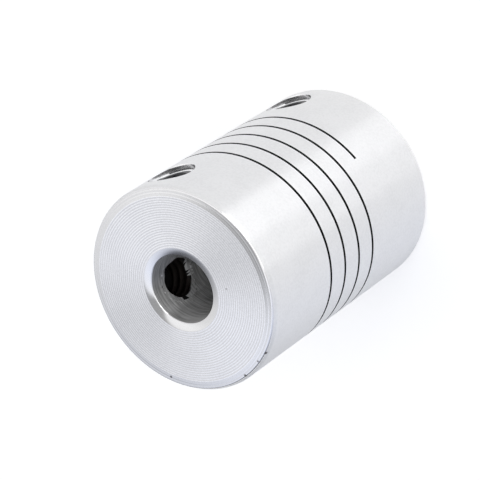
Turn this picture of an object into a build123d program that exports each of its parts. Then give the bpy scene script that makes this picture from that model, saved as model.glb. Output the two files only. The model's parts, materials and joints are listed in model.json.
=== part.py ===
from build123d import *

import os
from math import cos, radians, sin, tan

# Helical beam shaft coupling, in millimetres: one turned bar with a through bore, made
# flexible by a single helical slit, and two set screws in each hub, at right angles.
# The coupling's axis is Z. It stands on its rear face, and its front face is up.

# ---- body -------------------------------------------------------------------------------
outer_diameter = 18.0
body_length = 25.0
bore_diameter = 6.0
edge_chamfer = 0.35  # outer edge of both faces
bore_edge_break = 0.10  # sharp edge taken off where the bore starts
mouth_diameter = 7.30  # shallow ring left round the bore by the centring tool
mouth_depth = 0.10

# ---- helical slit -----------------------------------------------------------------------
hub_length = 7.58  # solid stretch from each face to the end of the slit
slit_pitch = 2.24
slit_width = 0.28
slit_rear_angle = -63.0  # where the slit ends at the rear hub, from +X towards +Y
slit_overcut = 0.5  # how far the slit's cutter reaches past both sides of the wall

# ---- tapped holes and set screws, M4 x 0.7 ----------------------------------------------
thread_diameter = 4.0
thread_pitch = 0.7
thread_clearance = 0.05  # gap between screw and hole, all round
hole_inset = 3.5  # from each face to the axis of its set screws
hole_mouth_flare = 0.20  # the mouth of a hole is wider than the hole by this, all round
hole_mouth_depth = 0.35
screw_angles = {"a": 0.0, "b": 90.0}  # directions of the two screws of a hub, from +X
plain_side_angle = 225.0  # direction of the side opposite both screws
screw_length = 4.0
screw_recess = 0.5  # outer end of a screw below the round surface
screw_end_chamfer = 0.30
socket_width = 2.0  # hexagon, across flats
socket_depth = 1.8
socket_lead_in = 0.20  # bevel round the mouth of the socket
drill_tip_angle = 118.0  # of the cone that the drill leaves under the socket
cup_diameter = 2.0
cup_depth = 0.45
cup_rim = 0.06  # width of the flat edge round the cup

# ---- sizes that follow ------------------------------------------------------------------
outer_radius = outer_diameter / 2
bore_radius = bore_diameter / 2
socket_radius = socket_width / 2
cup_radius = cup_diameter / 2

# The threads are plain here: a screw and its hole meet at the pitch line of the thread.
pitch_radius = (thread_diameter - 0.6495 * thread_pitch) / 2
hole_radius = pitch_radius + thread_clearance / 2
screw_radius = pitch_radius - thread_clearance / 2


def direction(angle):
    """Unit vector square to the coupling's axis."""
    return Vector(cos(radians(angle)), sin(radians(angle)), 0)


def section_plane(angle, height):
    """Plane through a hole's axis. Its x is the distance from the coupling's axis."""
    out = direction(angle)
    return Plane((0, 0, height), x_dir=out, z_dir=out.cross(Vector(0, 0, 1)))


# ---- coupling body: one piece, turned, drilled and slit ---------------------------------
with BuildPart() as coupling_body:
    # The section is turned from the side that has no holes, so that no seam crosses one.
    with BuildSketch(section_plane(plain_side_angle, 0)):
        with BuildLine():
            front_half = Polyline(
                (bore_radius, body_length / 2),
                (bore_radius, body_length - mouth_depth - bore_edge_break),
                (bore_radius + bore_edge_break, body_length - mouth_depth),
                (mouth_diameter / 2, body_length),
                (outer_radius - edge_chamfer, body_length),
                (outer_radius, body_length - edge_chamfer),
                (outer_radius, body_length / 2),
            )
            mirror(front_half, about=Plane.XZ.offset(-body_length / 2))
        make_face()
    revolve(axis=Axis.Z)

    for height in (hole_inset, body_length - hole_inset):
        for angle in screw_angles.values():
            with BuildSketch(section_plane(angle, height)):
                with BuildLine():
                    Polyline(
                        (0, 0),
                        (0, hole_radius),
                        (outer_radius - hole_mouth_depth, hole_radius),
                        (outer_radius + hole_mouth_depth, hole_radius + 2 * hole_mouth_flare),
                        (outer_radius + hole_mouth_depth, 0),
                        close=True,
                    )
                make_face()
            revolve(axis=Axis((0, 0, height), direction(angle)), mode=Mode.SUBTRACT)

    # The slit goes right through the wall. Its cutter is a thin blade along the radius,
    # carried up the right-handed helix from the rear hub to the front hub.
    blade_length = outer_radius - bore_radius + 2 * slit_overcut
    blade_middle = (outer_radius + bore_radius) / 2
    rear_end = direction(slit_rear_angle)
    with BuildLine(Plane((0, 0, hub_length), x_dir=rear_end)):
        slit_path = Helix(slit_pitch, body_length - 2 * hub_length, blade_middle)
    with BuildSketch(Plane(slit_path @ 0, x_dir=rear_end, z_dir=slit_path % 0)):
        Rectangle(blade_length, slit_width)
    sweep(path=slit_path, is_frenet=True, mode=Mode.SUBTRACT)

coupling_body.part.label = "coupling_body"


# ---- set screws: hexagon socket outside, cup point towards the shaft ---------------------
def make_set_screw(angle, height):
    """One set screw in its hole. Its section is drawn outward from the coupling's axis."""
    out = direction(angle)
    outer_end = outer_radius - screw_recess
    point = outer_end - screw_length
    socket_floor = outer_end - socket_depth
    drill_tip = socket_radius / tan(radians(drill_tip_angle / 2))
    point_chamfer = screw_radius - cup_radius - cup_rim

    with BuildPart() as screw:
        with BuildSketch(section_plane(angle, height)):
            with BuildLine():
                Polyline(
                    (point + cup_depth, 0),
                    (point, cup_radius),
                    (point, screw_radius - point_chamfer),
                    (point + point_chamfer, screw_radius),
                    (outer_end - screw_end_chamfer, screw_radius),
                    (outer_end, screw_radius - screw_end_chamfer),
                    (outer_end, socket_radius + socket_lead_in),
                    (outer_end - socket_lead_in, socket_radius),
                    (socket_floor, socket_radius),
                    (socket_floor - drill_tip, 0),
                    close=True,
                )
            make_face()
        revolve(axis=Axis((0, 0, height), out))

        # The corners of the hexagon are broached into the drilled socket.
        with BuildSketch(Plane(out * outer_end + Vector(0, 0, height), x_dir=(0, 0, 1), z_dir=out)):
            RegularPolygon(socket_radius, side_count=6, major_radius=False)
        extrude(amount=-socket_depth, mode=Mode.SUBTRACT)
    return screw


pieces = [coupling_body]
for hub, height in {"front": body_length - hole_inset, "rear": hole_inset}.items():
    for letter, angle in screw_angles.items():
        set_screw = make_set_screw(angle, height)
        set_screw.part.label = f"{hub}_set_screw_{letter}"
        pieces.append(set_screw)

os.makedirs("parts", exist_ok=True)
for piece in pieces:
    export_step(piece.part, f"parts/{piece.part.label}.step")
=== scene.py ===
import json
from math import atan2, ceil, cos, pi, radians, sin, sqrt, tan
from random import Random

import bmesh
import bpy
from mathutils import Matrix, Vector


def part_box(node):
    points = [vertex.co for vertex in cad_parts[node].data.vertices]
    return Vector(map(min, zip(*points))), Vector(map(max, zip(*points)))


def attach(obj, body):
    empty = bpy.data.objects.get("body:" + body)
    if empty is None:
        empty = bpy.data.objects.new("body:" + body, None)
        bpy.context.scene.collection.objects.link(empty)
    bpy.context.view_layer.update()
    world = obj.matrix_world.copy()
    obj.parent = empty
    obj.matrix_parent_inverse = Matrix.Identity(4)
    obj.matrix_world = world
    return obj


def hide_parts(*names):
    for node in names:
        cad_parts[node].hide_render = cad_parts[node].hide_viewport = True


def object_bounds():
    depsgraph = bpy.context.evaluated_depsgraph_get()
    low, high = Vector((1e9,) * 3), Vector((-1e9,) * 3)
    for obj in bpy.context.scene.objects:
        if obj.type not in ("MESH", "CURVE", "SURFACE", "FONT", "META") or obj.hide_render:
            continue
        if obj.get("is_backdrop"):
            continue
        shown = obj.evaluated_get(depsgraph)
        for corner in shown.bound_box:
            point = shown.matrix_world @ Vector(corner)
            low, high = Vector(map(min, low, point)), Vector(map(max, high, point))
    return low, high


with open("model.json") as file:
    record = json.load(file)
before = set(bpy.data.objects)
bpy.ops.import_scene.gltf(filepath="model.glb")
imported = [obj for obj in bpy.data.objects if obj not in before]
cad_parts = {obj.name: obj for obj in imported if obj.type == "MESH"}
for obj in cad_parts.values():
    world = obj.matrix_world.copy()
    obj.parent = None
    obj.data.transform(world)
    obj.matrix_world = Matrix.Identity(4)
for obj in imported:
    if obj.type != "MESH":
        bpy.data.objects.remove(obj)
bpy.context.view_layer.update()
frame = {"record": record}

# A helical beam shaft coupling: a turned aluminium bar with one helical slit, and four black
# set screws. Lengths here are in millimetres, and every mesh is scaled to metres when made.
MM = 0.001

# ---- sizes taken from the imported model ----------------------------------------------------
body_low, body_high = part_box("coupling_body")
outer_radius = (body_high.x - body_low.x) / 2 / MM
body_length = (body_high.z - body_low.z) / MM
mounts = {mount["name"]: mount for mount in frame["record"]["mounts"]}
bore_radius = mounts["front_bore"]["dims"]["r_mm"]

# ---- sizes of the turned body -------------------------------------------------------------
bore_edge_break = 0.10
mouth_radius = 3.65
mouth_depth = 0.12
mark_pitch = 0.207           # feed of the facing tool, which leaves rings on both faces
mark_depth = 0.010
mark_count = 21
burr_count = 46
burr_seed = 11
segments_round = 360
hub_length = 7.58
slit_pitch = 2.24
slit_width = 0.28
slit_rear_angle = radians(-63.0)

# ---- threads and set screws, M4 x 0.7 -----------------------------------------------------
thread_pitch = 0.7
hole_major_radius = 2.00
hole_minor_radius = 1.65
screw_major_radius = 1.97
screw_minor_radius = 1.58
crest_flat = 0.06            # width of a thread's crest along its axis
screw_length = 4.0
screw_recess = 0.5
hole_mouth_radius = 2.03
hole_mouth_flare = 2.30
hole_start = 1.2             # distance from the axis at which the taps and screw threads begin
socket_radius = 1.0          # half the hexagon's width across flats
socket_depth = 1.8
cup_radius = 1.0
cup_depth = 0.45

Z = Vector((0, 0, 1))


# ---- mesh tools ---------------------------------------------------------------------------
def new_object(name, points, faces):
    """A mesh object in millimetres."""
    mesh = bpy.data.meshes.new(name)
    mesh.from_pydata([Vector(p) for p in points], [], faces)
    mesh.validate()
    shape = bpy.data.objects.new(name, mesh)
    bpy.context.scene.collection.objects.link(shape)
    return shape


def face_outward(shape):
    """Turns the faces of a closed mesh outward."""
    bm = bmesh.new()
    bm.from_mesh(shape.data)
    bmesh.ops.recalc_face_normals(bm, faces=bm.faces)
    bm.to_mesh(shape.data)
    bm.free()
    return shape


def weld(shape):
    """Merges the doubled points and slivers that a boolean leaves."""
    bm = bmesh.new()
    bm.from_mesh(shape.data)
    bmesh.ops.remove_doubles(bm, verts=bm.verts, dist=1e-4)
    bmesh.ops.dissolve_degenerate(bm, edges=bm.edges, dist=1e-4)
    bm.to_mesh(shape.data)
    bm.free()


def combine(shape, tool, operation):
    """Applies one boolean operation to shape, and removes the tool."""
    modifier = shape.modifiers.new(operation, "BOOLEAN")
    modifier.object = tool
    modifier.operation = operation
    modifier.solver = "EXACT"
    graph = bpy.context.evaluated_depsgraph_get()
    result = bpy.data.meshes.new_from_object(shape.evaluated_get(graph))
    shape.modifiers.clear()
    shape.data = result
    weld(shape)
    bpy.data.objects.remove(tool)


def axis_frame(out):
    """Two vectors square to out and to each other, right-handed with it."""
    side = Z if abs(out.z) < 0.5 else Vector((1, 0, 0))
    return side, out.cross(side)


def revolved(name, outline, base, out, segments):
    """A solid of revolution. The outline is a closed list of (distance along out, radius)."""
    side, across = axis_frame(out)
    points, faces = [], []
    rings = []
    for along, radius in outline:
        if radius < 1e-6:
            rings.append([len(points)] * segments)
            points.append(base + out * along)
            continue
        rings.append(list(range(len(points), len(points) + segments)))
        for i in range(segments):
            turn = 2 * pi * i / segments
            around = side * cos(turn) + across * sin(turn)
            points.append(base + out * along + around * radius)
    for ring, following in zip(rings, rings[1:] + rings[:1]):
        for i in range(segments):
            j = (i + 1) % segments
            corners = [ring[i], ring[j], following[j], following[i]]
            corners = list(dict.fromkeys(corners))
            if len(corners) > 2:
                faces.append(corners)
    return face_outward(new_object(name, points, faces))


def threaded_rod(name, base, out, start, end, major, minor, segments):
    """A rod with a right-handed V thread, its ridge winding along out from start to end."""
    side, across = axis_frame(out)
    flank = (major - minor) * tan(radians(30))
    steps = [(0, major), (crest_flat, major),
             (crest_flat + flank, minor), (thread_pitch - flank, minor)]
    turns = ceil((end - start) / thread_pitch)
    rows = turns * len(steps)
    points, index = [], {}
    for row in range(rows + 1):
        turn_number, step = divmod(row, len(steps))
        offset, radius = steps[step]
        for i in range(segments):
            turn = 2 * pi * i / segments
            along = start + (turn_number + i / segments) * thread_pitch + offset
            index[row, i] = len(points)
            around = side * cos(turn) + across * sin(turn)
            points.append(base + out * along + around * radius)

    def corner(row, i):
        return index[row, i] if i < segments else index[row + len(steps), 0]

    faces = []
    for row in range(rows - len(steps)):
        for i in range(segments):
            a, b = corner(row, i), corner(row, i + 1)
            c, d = corner(row + 1, i + 1), corner(row + 1, i)
            faces += [(a, b, c), (a, c, d)]
    for first, along in ((0, start), (rows - len(steps), start + (turns - 1) * thread_pitch)):
        rim = [corner(first, i) for i in range(segments)]
        rim += [corner(first + step, 0) for step in range(len(steps), 0, -1)]
        centre = len(points)
        points.append(base + out * (along + thread_pitch / 2))
        faces += [(centre, a, b) for a, b in zip(rim, rim[1:] + rim[:1])]
    return face_outward(new_object(name, points, faces))


def finished(shape, sharp_angle=25):
    """Closes the last pinholes, scales the mesh to metres, and keeps its real edges sharp."""
    weld(shape)
    bm = bmesh.new()
    bm.from_mesh(shape.data)
    bmesh.ops.holes_fill(bm, edges=[edge for edge in bm.edges if edge.is_boundary], sides=8)
    bm.to_mesh(shape.data)
    bm.free()
    mesh = shape.data
    mesh.transform(Matrix.Scale(MM, 4))
    mesh.polygons.foreach_set("use_smooth", [True] * len(mesh.polygons))
    mesh.set_sharp_from_angle(angle=radians(sharp_angle))
    return shape


# ---- coupling body ------------------------------------------------------------------------
marks_start = mouth_radius + 0.05
marks_end = marks_start + mark_count * mark_pitch


def turned_bar():
    """The bar before drilling and slitting. Three fine steps run round each face by its rim."""
    half = [
        (bore_radius, mouth_depth + bore_edge_break),
        (bore_radius + 0.03, mouth_depth + 0.05),
        (bore_radius + bore_edge_break, mouth_depth),
        (mouth_radius - 0.02, 0.01),
        (mouth_radius + 0.02, 0),
        (marks_start, 0),
        (marks_end, 0),
        (8.15, 0.002),
        (8.21, 0.018),
        (8.38, 0.020),
        (8.40, 0.024),
        (8.48, 0.044),
        (8.50, 0.046),
        (8.70, 0.050),
        (8.73, 0.060),
        (8.80, 0.120),
        (8.83, 0.170),
        (outer_radius - 0.03, 0.42),
        (outer_radius, 0.56),
    ]
    outline = [(body_length - depth, r) for r, depth in half]
    outline += [(depth, r) for r, depth in reversed(half)]
    return revolved("coupling_body_turned", outline, Vector((0, 0, 0)), Z, segments_round)


def angle_of(vertex):
    return atan2(vertex.co.y, vertex.co.x)


def cut_facing_marks(body):
    """Swaps the flat part of each face for the fine rings that the facing tool leaves."""
    bm = bmesh.new()
    bm.from_mesh(body.data)
    for height, down in ((body_length, -1), (0, 1)):
        flat = [face for face in bm.faces
                if all(abs(v.co.z - height) < 1e-4
                       and marks_start - 1e-3 < v.co.xy.length < marks_end + 1e-3
                       for v in face.verts)]
        edges = {edge for face in flat for edge in face.edges}
        bounds = [edge for edge in edges if sum(face in flat for face in edge.link_faces) == 1]
        middle = (marks_start + marks_end) / 2
        inner = {v for edge in bounds for v in edge.verts if v.co.xy.length < middle}
        outer = {v for edge in bounds for v in edge.verts} - inner
        inner, outer = sorted(inner, key=angle_of), sorted(outer, key=angle_of)
        bmesh.ops.delete(bm, geom=flat, context="FACES")
        rings = [inner]
        for k in range(mark_count):
            strength = 0.75 + 0.25 * sin(2.4 * k) * cos(0.7 * k + 1)
            shift = 0.02 * sin(1.9 * k + 0.5)
            steps = ((0.30 + shift, 0.85), (0.62 + shift, 0.95), (1.0, 0.0))
            for part, depth in steps[:2] if k == mark_count - 1 else steps:
                radius = marks_start + (k + part) * mark_pitch
                level = height + down * depth * strength * mark_depth
                rings.append([bm.verts.new((v.co.x * radius / marks_start,
                                            v.co.y * radius / marks_start, level)) for v in inner])
        rings.append(outer)
        for ring, following in zip(rings, rings[1:]):
            for i in range(len(ring)):
                j = (i + 1) % len(ring)
                corners = (ring[i], following[i], following[j], ring[j])
                bm.faces.new(corners if down < 0 else corners[::-1])
    bm.to_mesh(body.data)
    bm.free()


def slit_blade():
    """The thin blade along the radius that winds up the bar and cuts the slit."""
    turns = (body_length - 2 * hub_length) / slit_pitch
    steps = ceil(turns * 180)
    inner, outer = bore_radius - 0.5, outer_radius + 0.5
    points, faces = [], []
    for i in range(steps + 1):
        turn = slit_rear_angle + 2 * pi * turns * i / steps
        height = hub_length + slit_pitch * turns * i / steps
        for radius, side in ((inner, -1), (outer, -1), (outer, 1), (inner, 1)):
            points.append((radius * cos(turn), radius * sin(turn), height + side * slit_width / 2))
    for i in range(steps):
        a, b = 4 * i, 4 * i + 4
        for k in range(4):
            m = (k + 1) % 4
            faces += [(a + k, b + k, b + m), (a + k, b + m, a + m)]
    faces += [(0, 1, 2, 3), tuple(4 * steps + k for k in (3, 2, 1, 0))]
    return face_outward(new_object("slit_blade", points, faces))


def build_body(holes):
    body = turned_bar()
    for base, out in holes:
        mouth = [
            (outer_radius - screw_recess, 0),
            (outer_radius - screw_recess, hole_mouth_radius),
            (outer_radius - 0.10, hole_mouth_radius),
            (outer_radius + 0.4, hole_mouth_flare),
            (outer_radius + 0.4, 0),
        ]
        combine(body, revolved("hole_mouth", mouth, base, out, 96), "DIFFERENCE")
        tap = threaded_rod("tap", base, out, hole_start, outer_radius + 2 * thread_pitch,
                           hole_major_radius, hole_minor_radius, 48)
        combine(body, tap, "DIFFERENCE")
    combine(body, slit_blade(), "DIFFERENCE")
    cut_facing_marks(body)
    add_burrs(body, holes)
    return body


def add_burrs(body, holes):
    """Small torn chips that drilling left where each tapped hole breaks into the bore."""
    chance = Random(burr_seed)
    bm = bmesh.new()
    bm.from_mesh(body.data)
    for base, out in holes:
        side, across = axis_frame(out)
        for k in range(burr_count):
            turn = 2 * pi * (k + 0.6 * chance.random()) / burr_count
            away = side * cos(turn) + across * sin(turn)
            along_rim = out.cross(away)
            reach = 2.06 + 0.05 * chance.random()
            depth = sqrt(bore_radius ** 2 - (reach * sin(turn)) ** 2)
            root = base + away * reach + out * (depth + 0.04)
            width, height = 0.06 + 0.10 * chance.random(), 0.05 + 0.13 * chance.random() ** 2
            if chance.random() < 0.35 and cos(turn) < 0.3:
                height += 0.08
            tip = root + away * (0.10 * chance.random()) - out * (height + 0.04)
            buried = root + away * (0.10 + 0.10 * chance.random()) + out * 0.05
            places = (root - along_rim * width, root + along_rim * width, buried, tip)
            corners = [bm.verts.new(p) for p in places]
            for face in ((0, 1, 2), (0, 3, 1), (1, 3, 2), (2, 3, 0)):
                bm.faces.new([corners[i] for i in face])
    bmesh.ops.recalc_face_normals(bm, faces=bm.faces)
    bm.to_mesh(body.data)
    bm.free()


# ---- set screws ---------------------------------------------------------------------------
def build_set_screw(base, out):
    """A threaded rod cut to the envelope of the screw, with a broached hexagon."""
    end = outer_radius - screw_recess
    point = end - screw_length
    envelope = [
        (point + cup_depth, 0),
        (point, cup_radius),
        (point, cup_radius + 0.06),
        (point + 0.9, screw_major_radius + 0.05),
        (end - 0.42, screw_major_radius + 0.05),
        (end, screw_minor_radius),
        (end, socket_radius + 0.2),
        (end - 0.2, socket_radius),
        (end - socket_depth, socket_radius),
        (end - socket_depth - 0.6, 0),
    ]
    screw = threaded_rod("set_screw", base, out, hole_start + 2 * thread_pitch,
                         outer_radius + 2 * thread_pitch, screw_major_radius, screw_minor_radius, 48)
    combine(screw, revolved("envelope", envelope, base, out, 96), "INTERSECT")
    side, across = axis_frame(out)
    turns = [pi / 6 + k * pi / 3 for k in range(6)]
    corners = [(side * cos(turn) + across * sin(turn)) * socket_radius / cos(pi / 6) for turn in turns]
    points = [base + out * (end - socket_depth) + c for c in corners]
    points += [base + out * (end + 1) + c for c in corners]
    faces = [(k, (k + 1) % 6, (k + 1) % 6 + 6, k + 6) for k in range(6)]
    faces += [tuple(range(6)), tuple(range(11, 5, -1))]
    combine(screw, face_outward(new_object("hexagon", points, faces)), "DIFFERENCE")
    return screw


# ---- materials ----------------------------------------------------------------------------
def new_material(name):
    """An empty node material, with its tree, its shader and a helper that adds nodes."""
    material = bpy.data.materials.new(name)
    material.use_nodes = True
    tree = material.node_tree
    tree.nodes.clear()
    output = tree.nodes.new("ShaderNodeOutputMaterial")
    shader = tree.nodes.new("ShaderNodeBsdfPrincipled")
    tree.links.new(shader.outputs["BSDF"], output.inputs["Surface"])
    return material, tree, shader


def node(tree, kind, values=None, **settings):
    """Adds a node. Values are numbers, or outputs to link, by input name or number."""
    made = tree.nodes.new(kind)
    for key, value in settings.items():
        setattr(made, key, value)
    for key, value in (values or {}).items():
        if isinstance(value, bpy.types.NodeSocket):
            tree.links.new(value, made.inputs[key])
        else:
            made.inputs[key].default_value = value
    return made


def maths(tree, operation, *values):
    return node(tree, "ShaderNodeMath", dict(enumerate(values)), operation=operation).outputs[0]


def turned_coordinates(tree):
    """Radius and angle about the coupling's axis, and height, all in millimetres."""
    place = node(tree, "ShaderNodeTexCoord").outputs["Object"]
    scaled = node(tree, "ShaderNodeVectorMath", {0: place, 1: (1000, 1000, 1000)}, operation="MULTIPLY")
    xyz = node(tree, "ShaderNodeSeparateXYZ", {0: scaled.outputs[0]})
    x, y, z = xyz.outputs
    squares = maths(tree, "ADD", maths(tree, "MULTIPLY", x, x), maths(tree, "MULTIPLY", y, y))
    radius = maths(tree, "SQRT", squares)
    angle = maths(tree, "ARCTAN2", y, x)
    return radius, angle, z, scaled.outputs[0]


def aluminium(name, colour, roughness, anisotropic, tangent):
    material, tree, shader = new_material(name)
    shader.inputs["Base Color"].default_value = (*colour, 1)
    shader.inputs["Metallic"].default_value = 1.0
    shader.inputs["Roughness"].default_value = roughness
    shader.inputs["Anisotropic"].default_value = anisotropic
    shader.inputs["Specular Tint"].default_value = (0.6, 0.6, 0.6, 1)
    if tangent:
        shader.inputs["Anisotropic Rotation"].default_value = 0.25
        around = node(tree, "ShaderNodeTangent", direction_type="RADIAL", axis="Z")
        tree.links.new(around.outputs[0], shader.inputs["Tangent"])
    return material, tree, shader


side_metal, side_tree, side_shader = aluminium("turned_side", (0.86, 0.86, 0.865), 0.40, 1.0, True)
face_metal, face_tree, face_shader = aluminium("turned_face", (0.84, 0.84, 0.86), 0.27, 0.85, True)
bore_metal, bore_tree, bore_shader = aluminium("drilled_bore", (0.88, 0.87, 0.86), 0.48, 0.9, True)
# The slit's walls are coloured near black: painted shade inside the narrow slit, not the colour of sawn
# metal.
slit_painted_shade = aluminium("slit_wall_painted_shade", (0.06, 0.06, 0.062), 0.5, 0.0, False)[0]
rim_metal, rim_tree, rim_shader = aluminium("turned_rim", (0.86, 0.86, 0.875), 0.16, 0.6, True)
thread_metal = aluminium("tapped_thread", (0.95, 0.95, 0.95), 0.42, 0.0, False)[0]
flare_metal = aluminium("hole_mouth", (0.93, 0.93, 0.94), 0.22, 0.0, False)[0]
mouth_metal = aluminium("turned_mouth", (0.77, 0.77, 0.78), 0.16, 0.6, True)[0]
# The tapped threads within 6 mm of the axis, seen from the bore below the screws' points, are coloured near
# black as painted shade inside the holes.
painted_shade_thread_metal = aluminium("tapped_thread_painted_shade", (0.07, 0.06, 0.055), 0.45, 0.0, False)[0]


def worn(tree, place, light, dark):
    """A fine grain over the metal, with a few small nicks by the rim and on the face."""
    grain = node(tree, "ShaderNodeTexNoise", {"Vector": place, "Scale": 5.0, "Detail": 3.0})
    blotch = node(tree, "ShaderNodeTexNoise", {"Vector": place, "Scale": 0.5, "Detail": 2.0})
    faint = maths(tree, "MULTIPLY", blotch.outputs[0], 0.3)
    tone = maths(tree, "MULTIPLY_ADD", grain.outputs[0], 0.7, faint)
    mixed = node(tree, "ShaderNodeMixRGB",
                 {"Fac": smooth_step(tree, tone, 0.32, 0.62), "Color1": dark, "Color2": light})
    bare = None
    for x, y, z, size in nicks:
        apart = node(tree, "ShaderNodeVectorMath", {0: place, 1: (x, y, z)}, operation="DISTANCE")
        jagged = maths(tree, "MULTIPLY_ADD", grain.outputs[0], 0.12, apart.outputs["Value"])
        clear = smooth_step(tree, jagged, size, size + 0.12)
        bare = clear if bare is None else maths(tree, "MULTIPLY", bare, clear)
    marked = node(tree, "ShaderNodeMixRGB",
                  {"Fac": bare, "Color1": (0.16, 0.15, 0.15, 1), "Color2": mixed.outputs[0]})
    return marked.outputs[0]


def smooth_step(tree, value, low, high):
    made = node(tree, "ShaderNodeMapRange", {"Value": value, "From Min": low, "From Max": high},
                interpolation_type="SMOOTHSTEP", clamp=True)
    return made.outputs[0]


# Small nicks as (x, y, z, size) in millimetres.
nicks = [
    (-6.22, -6.32, 24.85, 0.14),
    (-7.92, -3.62, 24.95, 0.12),
    (-6.80, -5.35, 24.95, 0.08),
    (-7.39, 3.99, 25.0, 0.10),
    (-0.38, -4.57, 25.0, 0.05),
    (5.1, 6.9, 0.0, 0.12),
    (-8.9, 1.1, 0.4, 0.13),
]

_, _, _, place = turned_coordinates(side_tree)
side_colour = worn(side_tree, place, (0.895, 0.895, 0.90, 1), (0.845, 0.845, 0.85, 1))
side_tree.links.new(side_colour, side_shader.inputs["Base Color"])
side_grain = node(side_tree, "ShaderNodeTexNoise", {"Vector": place, "Scale": 7.0, "Detail": 2.0})
side_bump = node(side_tree, "ShaderNodeBump",
                 {"Height": side_grain.outputs[0], "Strength": 0.25, "Distance": 0.00003})
side_tree.links.new(side_bump.outputs[0], side_shader.inputs["Normal"])
_, _, _, place = turned_coordinates(rim_tree)
rim_colour = worn(rim_tree, place, (0.82, 0.82, 0.83, 1), (0.79, 0.79, 0.80, 1))
rim_tree.links.new(rim_colour, rim_shader.inputs["Base Color"])

radius, _, _, place = turned_coordinates(face_tree)
# The face's colour runs in lighter and darker rings at the pitch of the facing marks: painted highlight and
# shade, standing in for the light that the real marks catch.
waver = node(face_tree, "ShaderNodeTexNoise", {"Vector": place, "Scale": 0.35, "Detail": 1.0})
phase = maths(face_tree, "MULTIPLY_ADD", radius, 2 * pi / mark_pitch, waver.outputs[0])
fine = maths(face_tree, "SINE", phase)
ring_light_and_shade = node(face_tree, "ShaderNodeMixRGB", {"Fac": maths(face_tree, "MULTIPLY_ADD", fine, 0.5, 0.5),
             "Color1": (0.83, 0.83, 0.845, 1), "Color2": (0.98, 0.98, 0.995, 1)})
face_grain = worn(face_tree, place, (1, 1, 1, 1), (0.93, 0.93, 0.935, 1))
face_colour = node(face_tree, "ShaderNodeMixRGB",
                   {"Fac": 1.0, "Color1": ring_light_and_shade.outputs[0], "Color2": face_grain}, blend_type="MULTIPLY")
face_tree.links.new(face_colour.outputs[0], face_shader.inputs["Base Color"])

# Reaming leaves streaks round the bore. The colour also runs between 0.39 and 0.70, well below the outer
# metal's, which is painted shade over the whole inside of the bore.
_, angle, height, _ = turned_coordinates(bore_tree)
round_bore = node(bore_tree, "ShaderNodeCombineXYZ",
                  {0: maths(bore_tree, "COSINE", angle), 1: maths(bore_tree, "SINE", angle),
                   2: maths(bore_tree, "MULTIPLY", height, 5.0)})
streaks = node(bore_tree, "ShaderNodeTexNoise",
               {"Vector": round_bore.outputs[0], "Scale": 1.6, "Detail": 4.0})
streak_tone = node(bore_tree, "ShaderNodeMapRange",
                   {"Value": streaks.outputs[0], "From Min": 0.35, "From Max": 0.65,
                    "To Min": 0.55, "To Max": 1.0})
bore_streaks_painted_shade = node(bore_tree, "ShaderNodeMixRGB", {"Fac": streak_tone.outputs[0], "Color1": (0, 0, 0, 1),
                  "Color2": (0.70, 0.70, 0.70, 1)})
bore_tree.links.new(bore_streaks_painted_shade.outputs[0], bore_shader.inputs["Base Color"])
bore_bump = node(bore_tree, "ShaderNodeBump",
                 {"Height": streaks.outputs[0], "Strength": 0.5, "Distance": 0.00004})
bore_tree.links.new(bore_bump.outputs[0], bore_shader.inputs["Normal"])

black_steel, _, steel_shader = new_material("black_oxide")
steel_shader.inputs["Base Color"].default_value = (0.03, 0.03, 0.032, 1)
steel_shader.inputs["Metallic"].default_value = 0.6
steel_shader.inputs["Roughness"].default_value = 0.4


# ---- the pieces ---------------------------------------------------------------------------
def dress_body(body, holes):
    """Gives each surface of the body the finish that made it, except the slit's walls and the threads near
    the bore, which get a near-black colour as painted shade.
    """
    finishes = (side_metal, face_metal, bore_metal, slit_painted_shade, thread_metal, painted_shade_thread_metal, rim_metal,
                flare_metal, mouth_metal)
    for material in finishes:
        body.data.materials.append(material)
    side, face, bore, slit, thread, shaded_threads, rim, flare, mouth = range(len(finishes))
    for polygon in body.data.polygons:
        centre, normal = polygon.center / MM, polygon.normal
        radius = sqrt(centre.x ** 2 + centre.y ** 2)
        in_hole = any(out.dot(centre) > 1 and out.cross(centre - base).length < hole_mouth_flare
                      and abs(out.dot(normal)) < 0.93 for base, out in holes)
        if in_hole and radius > bore_radius + 0.22:
            on_flare = radius > outer_radius - screw_recess - 0.05
            # Threads outside 6 mm keep the bright metal; those nearer the bore get the near-black painted
            # shade.
            polygon.material_index = flare if on_flare else thread if radius > 6 else shaded_threads
        elif abs(normal.z) > 0.3 and (centre.z > body_length - 0.2 or centre.z < 0.2):
            polygon.material_index = mouth if radius < marks_start - 0.02 else face if radius < 8.14 else rim
        elif radius > outer_radius - 0.4 and abs(normal.z) < 0.9:
            polygon.material_index = side
        elif radius < bore_radius + 0.15:
            polygon.material_index = bore
        else:
            # Everything else, mostly the slit's walls, gets the near-black painted shade.
            polygon.material_index = slit


screw_places = {}
for body_name, nodes in frame["record"]["behaviour"]["bodies"].items():
    for screw_node in nodes:
        if "set_screw" in screw_node:
            low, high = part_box(screw_node)
            middle = (low + high) / 2 / MM
            out = Vector((middle.x, middle.y, 0)).normalized()
            screw_places[screw_node] = (body_name, Vector((0, 0, middle.z)), out)

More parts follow.
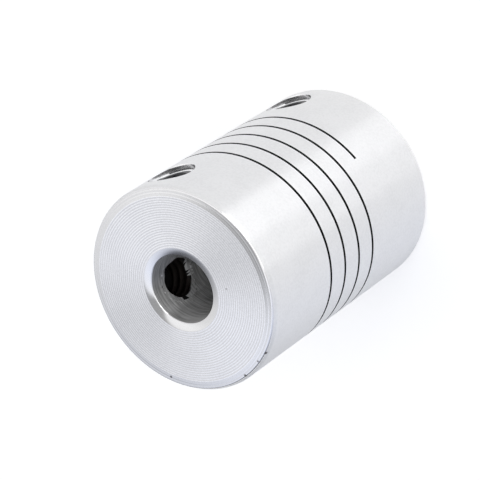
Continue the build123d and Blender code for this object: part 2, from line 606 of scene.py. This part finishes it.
holes = [(base, out) for _, base, out in screw_places.values()]
body = finished(build_body(holes))
dress_body(body, holes)
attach(body, "body")
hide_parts("coupling_body")
first_base, first_out = screw_places["front_set_screw_a"][1:]
screw_shape = finished(build_set_screw(first_base, first_out))
screw_shape.data.materials.append(black_steel)
for screw_node, (body_name, base, out) in screw_places.items():
    screw = bpy.data.objects.new(screw_node + "_threaded", screw_shape.data.copy())
    bpy.context.scene.collection.objects.link(screw)
    turn = atan2(out.y, out.x) - atan2(first_out.y, first_out.x)
    screw.data.transform(Matrix.Translation((base - first_base) * MM) @ Matrix.Rotation(turn, 4, "Z"))
    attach(screw, body_name)
    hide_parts(screw_node)
bpy.data.objects.remove(screw_shape)


# ---- floor, light and camera --------------------------------------------------------------
def emission_where(tree, shader, rays, strength):
    """Adds plain light to a surface for the kinds of ray named."""
    kinds = node(tree, "ShaderNodeLightPath")
    total = kinds.outputs[rays[0]]
    for ray in rays[1:]:
        total = maths(tree, "MAXIMUM", total, kinds.outputs[ray])
    light = node(tree, "ShaderNodeEmission",
                 {"Color": (1, 1, 1, 1), "Strength": maths(tree, "MULTIPLY", total, strength)})
    return node(tree, "ShaderNodeAddShader", {0: shader, 1: light.outputs[0]}).outputs[0]


bpy.ops.mesh.primitive_plane_add(size=3.0, location=(0, 0, 0))
floor = bpy.context.object
floor.name = "floor"
floor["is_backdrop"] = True
floor_material = bpy.data.materials.new("pale_floor")
floor_material.use_nodes = True
floor_tree = floor_material.node_tree
floor_tree.nodes.clear()
paper = node(floor_tree, "ShaderNodeBsdfDiffuse", {"Color": (0.86, 0.86, 0.86, 1)})
seen_rays = ("Is Camera Ray", "Is Glossy Ray", "Is Transmission Ray")
lit = emission_where(floor_tree, paper.outputs[0], seen_rays, 0.29)
node(floor_tree, "ShaderNodeOutputMaterial", {"Surface": lit})
floor.data.materials.append(floor_material)

world = bpy.data.worlds.new("studio")
bpy.context.scene.world = world
world.use_nodes = True
world_tree = world.node_tree
world_tree.nodes.clear()
kinds = node(world_tree, "ShaderNodeLightPath")
toward = node(world_tree, "ShaderNodeTexCoord").outputs["Generated"]
direction = node(world_tree, "ShaderNodeSeparateXYZ", {0: toward})
across_gap = node(world_tree, "ShaderNodeVectorMath", {0: toward, 1: (cos(radians(20)), sin(radians(20)), 0)},
                  operation="DOT_PRODUCT").outputs["Value"]
bright_side = Vector((cos(radians(-10)), sin(radians(-10)), 0.5)).normalized()
slope = node(world_tree, "ShaderNodeVectorMath", {0: toward, 1: bright_side},
             operation="DOT_PRODUCT").outputs["Value"]
dome = maths(world_tree, "MULTIPLY_ADD", slope, 0.09, 0.87)

# A dark gap between two overhead panels. It keeps one fixed place in the world, and runs square
# to the azimuth of 20 degrees above.
gap_sides = maths(world_tree, "MULTIPLY", smooth_step(world_tree, across_gap, -0.24, -0.12),
                  maths(world_tree, "SUBTRACT", 1.0, smooth_step(world_tree, across_gap, 0.16, 0.22)))
gap = maths(world_tree, "MULTIPLY", gap_sides, smooth_step(world_tree, direction.outputs[2], 0.80, 0.92))
high = smooth_step(world_tree, direction.outputs[2], 0.5, 0.8)
right_panel = maths(world_tree, "MULTIPLY", smooth_step(world_tree, across_gap, 0.20, 0.26), high)
left_panel = maths(world_tree, "MULTIPLY", smooth_step(world_tree, across_gap, -0.16, -0.28), high)
far_side = node(world_tree, "ShaderNodeVectorMath", {0: toward, 1: (cos(radians(150)), sin(radians(150)), 0)},
                operation="DOT_PRODUCT").outputs["Value"]
far_low = maths(world_tree, "MULTIPLY", smooth_step(world_tree, far_side, 0.45, 0.95),
                maths(world_tree, "SUBTRACT", 1.0, smooth_step(world_tree, direction.outputs[2], 0.3, 0.6)))
dome = maths(world_tree, "MULTIPLY_ADD", gap, -0.50, dome)
dome = maths(world_tree, "MULTIPLY_ADD", far_low, -0.70, dome)
dome = maths(world_tree, "MULTIPLY_ADD", right_panel, 0.18, dome)
dome = maths(world_tree, "MULTIPLY_ADD", left_panel, 0.30, dome)
level = maths(world_tree, "MAXIMUM", dome, kinds.outputs["Is Camera Ray"])
cool_side = Vector((cos(radians(175)), sin(radians(175)), 0.05)).normalized()
cool = node(world_tree, "ShaderNodeVectorMath", {0: toward, 1: cool_side},
            operation="DOT_PRODUCT").outputs["Value"]
tint = node(world_tree, "ShaderNodeMixRGB",
            {"Fac": smooth_step(world_tree, cool, 0.0, 0.95), "Color1": (1, 1, 1, 1),
             "Color2": (0.80, 0.85, 1.0, 1)})
tint = node(world_tree, "ShaderNodeMixRGB",
            {"Fac": kinds.outputs["Is Camera Ray"], "Color1": tint.outputs[0],
             "Color2": (1, 1, 1, 1)})
sky = node(world_tree, "ShaderNodeBackground", {"Color": tint.outputs[0], "Strength": level})
node(world_tree, "ShaderNodeOutputWorld", {"Surface": sky.outputs[0]})


def soft_lamp(name, azimuth, elevation, distance, size, power, aim=(0, 0, 0.0125)):
    """A square soft lamp. Azimuth turns from +X towards +Y, in degrees; distances in metres."""
    data = bpy.data.lights.new(name, "AREA")
    data.shape = "RECTANGLE"
    data.size, data.size_y = size
    data.energy = power
    lamp = bpy.data.objects.new(name, data)
    bpy.context.scene.collection.objects.link(lamp)
    away = Vector((cos(radians(azimuth)) * cos(radians(elevation)),
                   sin(radians(azimuth)) * cos(radians(elevation)), sin(radians(elevation))))
    lamp.location = Vector(aim) + away * distance
    lamp.rotation_euler = away.to_track_quat("Z", "Y").to_euler()


soft_lamp("key", -50, 20, 0.5, (0.27, 0.25), 0.33)
soft_lamp("fill", -78, 15, 0.5, (0.30, 0.25), 0.20)

camera_data = bpy.data.cameras.new("camera")
camera_data.sensor_width = 36
camera_data.lens = 193.8
camera_data.clip_start = 0.01
camera = bpy.data.objects.new("camera", camera_data)
bpy.context.scene.collection.objects.link(camera)
bpy.context.scene.camera = camera
camera_azimuth, camera_elevation, camera_roll = radians(20.0), radians(49.32), radians(123.45)
camera_aim = Vector((0.205, 1.60, 13.73)) * MM
camera_distance = 219.4 * MM
back = Vector((sin(camera_azimuth) * cos(camera_elevation), -cos(camera_azimuth) * cos(camera_elevation),
               sin(camera_elevation)))
level_right = Vector((cos(camera_azimuth), sin(camera_azimuth), 0))
level_up = back.cross(level_right)
right = level_right * cos(camera_roll) - level_up * sin(camera_roll)
up = level_up * cos(camera_roll) + level_right * sin(camera_roll)
camera_turn = Matrix((right, up, back)).transposed().to_4x4()
camera.matrix_world = Matrix.Translation(camera_aim + back * camera_distance) @ camera_turn

bpy.context.scene.view_settings.view_transform = "Standard"

low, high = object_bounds()
